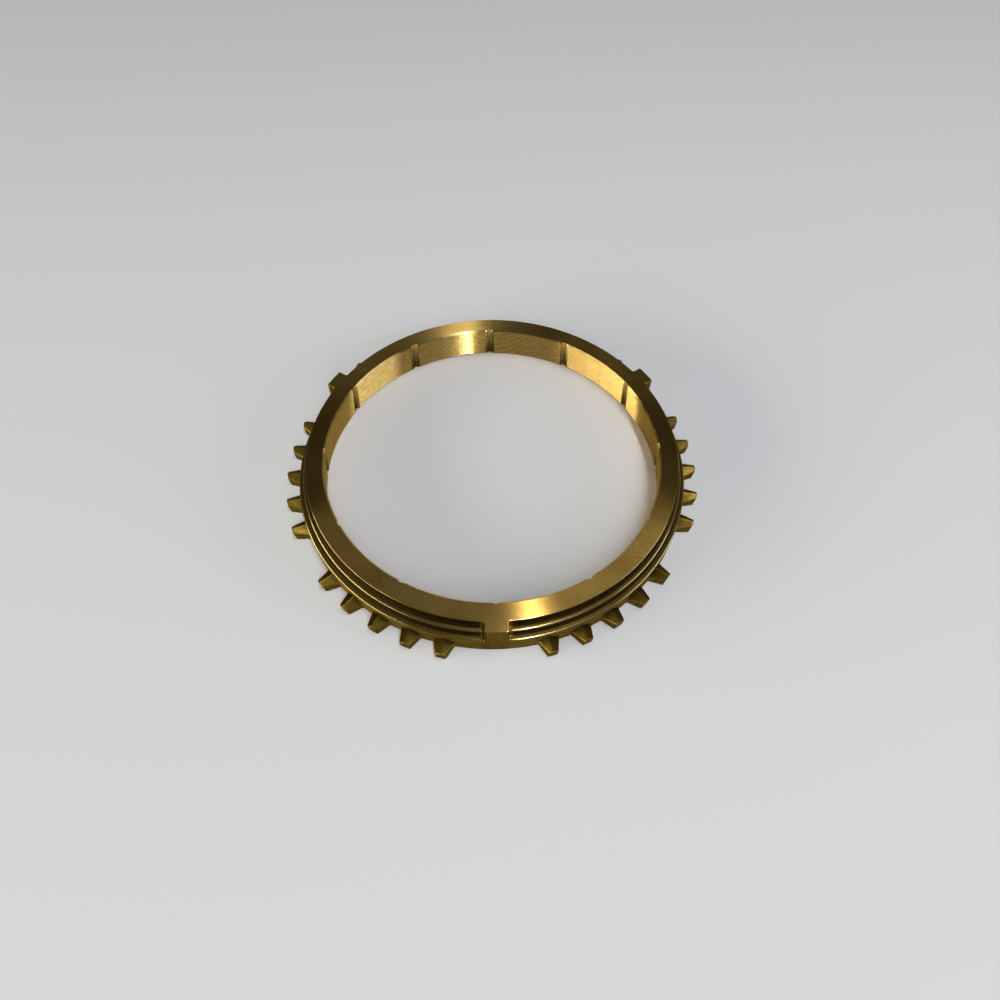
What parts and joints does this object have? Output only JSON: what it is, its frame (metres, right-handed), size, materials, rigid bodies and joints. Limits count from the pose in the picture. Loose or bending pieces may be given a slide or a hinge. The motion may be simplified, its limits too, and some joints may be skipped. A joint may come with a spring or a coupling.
{
  "type": "synchronizer ring",
  "caption": "Brass synchronizer ring with a grooved conical bore, stepped outer wall, driving lugs and rows of pointed blocking teeth.",
  "frame": {"origin": "on the ring's axis, in the plane of the gear-side face that it lies on", "axes": "+Z along the ring's axis from the gear side to the hub side; -Y through the middle of one driving lug"},
  "size_m": [0.1018, 0.0999, 0.0097],
  "materials": {
    "brass": "turned"
  },
  "bodies": {
    "root": {"synchronizer_ring": "brass"}
  },
  "joints": []
}
